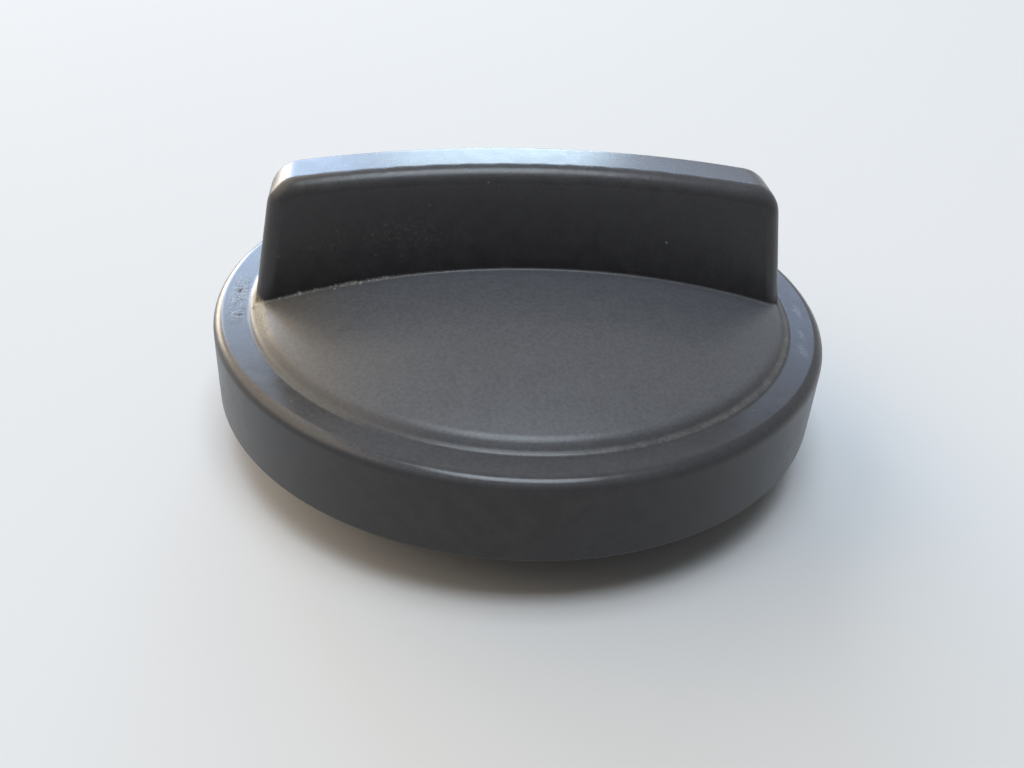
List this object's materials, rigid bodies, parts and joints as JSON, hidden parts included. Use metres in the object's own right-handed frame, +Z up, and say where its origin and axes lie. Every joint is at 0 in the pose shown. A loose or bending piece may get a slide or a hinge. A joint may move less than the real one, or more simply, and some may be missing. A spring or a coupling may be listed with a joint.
{
  "type": "oil filler cap",
  "caption": "Round skirted cap with a domed top, a tall bar grip, a bayonet plug and a flat rubber ring, which closes an engine's oil filler neck.",
  "frame": {"origin": "centre of the plug's lower end, where the cap stands", "axes": "+Z up along the cap's axis, out of the filler neck; X along the grip bar; Y across it, through the bayonet lugs"},
  "size_m": [0.076, 0.076, 0.0356],
  "materials": {
    "black_plastic": "fine moulded grain, satin, dusty and lightly scuffed",
    "black_rubber": "matt moulded rubber with a thin film of oil"
  },
  "bodies": {
    "root": {"cap_body": "black_plastic", "seal_ring": "black_rubber"}
  },
  "joints": []
}
